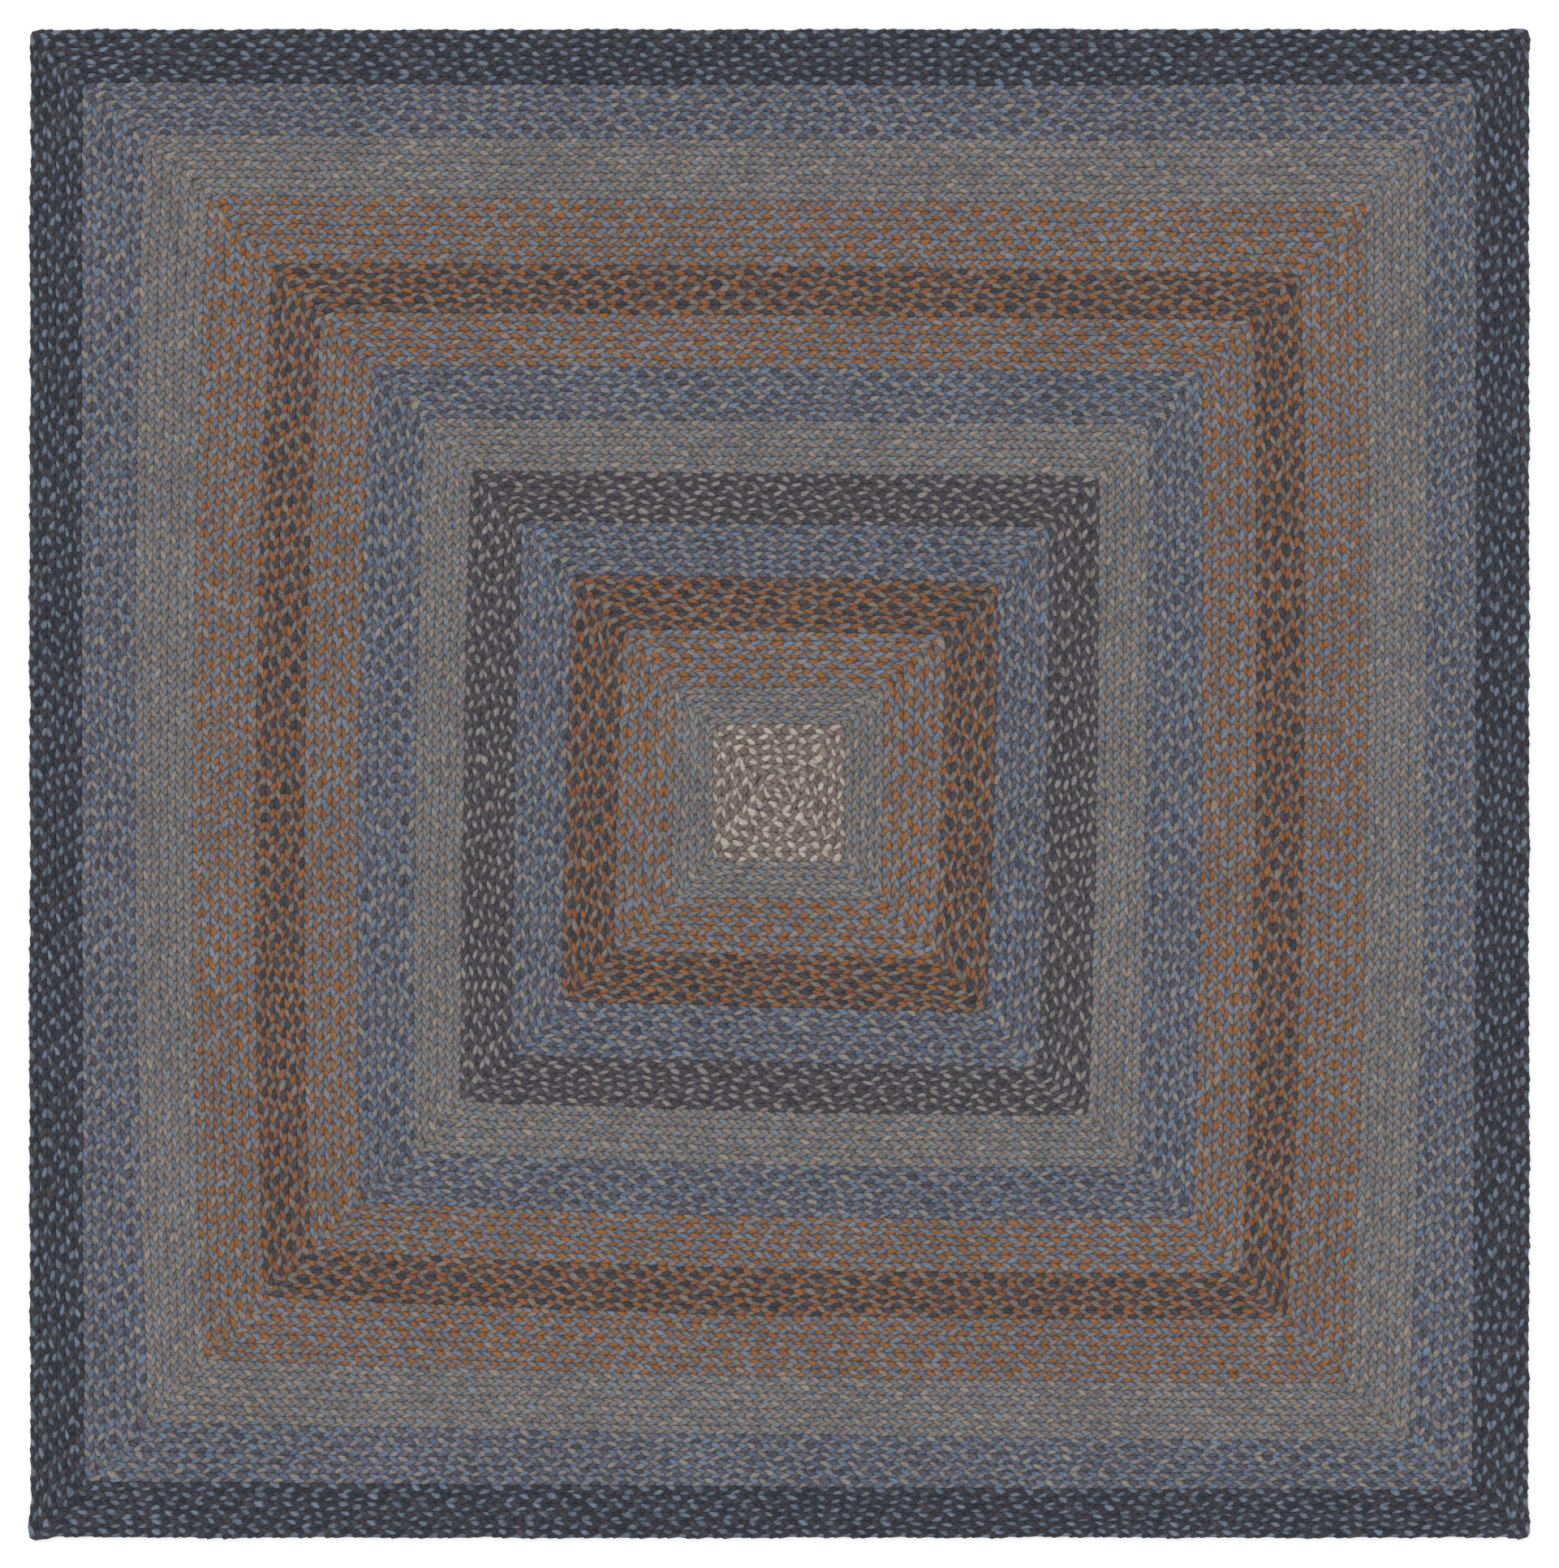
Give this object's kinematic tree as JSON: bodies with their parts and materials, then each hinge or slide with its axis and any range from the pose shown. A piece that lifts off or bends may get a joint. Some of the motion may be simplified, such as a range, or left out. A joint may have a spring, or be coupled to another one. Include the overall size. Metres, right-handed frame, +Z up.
{
  "type": "braided rug",
  "caption": "Square flat rug of flat braid laid in concentric rounds, with muted bands of colour around a pale centre block and a dark border.",
  "frame": {"origin": "middle of the rug's box, at its underside on the floor", "axes": "+Z up through the rug's thickness, +Y towards the back edge (the top of the picture), +X to the right"},
  "size_m": [1.825, 1.836, 0.008],
  "materials": {
    "border_braid": "matte braided yarn",
    "denim_braid": "matte braided yarn",
    "taupe_braid": "matte braided yarn",
    "rust_braid": "matte braided yarn",
    "navy_braid": "matte braided yarn",
    "charcoal_braid": "matte braided yarn",
    "centre_braid": "matte braided yarn"
  },
  "bodies": {
    "root": {"band_01_border": "border_braid", "band_02_denim": "denim_braid", "band_03_taupe": "taupe_braid", "band_04_rust": "rust_braid", "band_05_navy": "navy_braid", "band_06_rust": "rust_braid", "band_07_denim": "denim_braid", "band_08_taupe": "taupe_braid", "band_09_charcoal": "charcoal_braid", "band_10_denim": "denim_braid", "band_11_navy": "navy_braid", "band_12_rust": "rust_braid", "band_13_taupe": "taupe_braid", "band_14_centre": "centre_braid"}
  },
  "joints": []
}
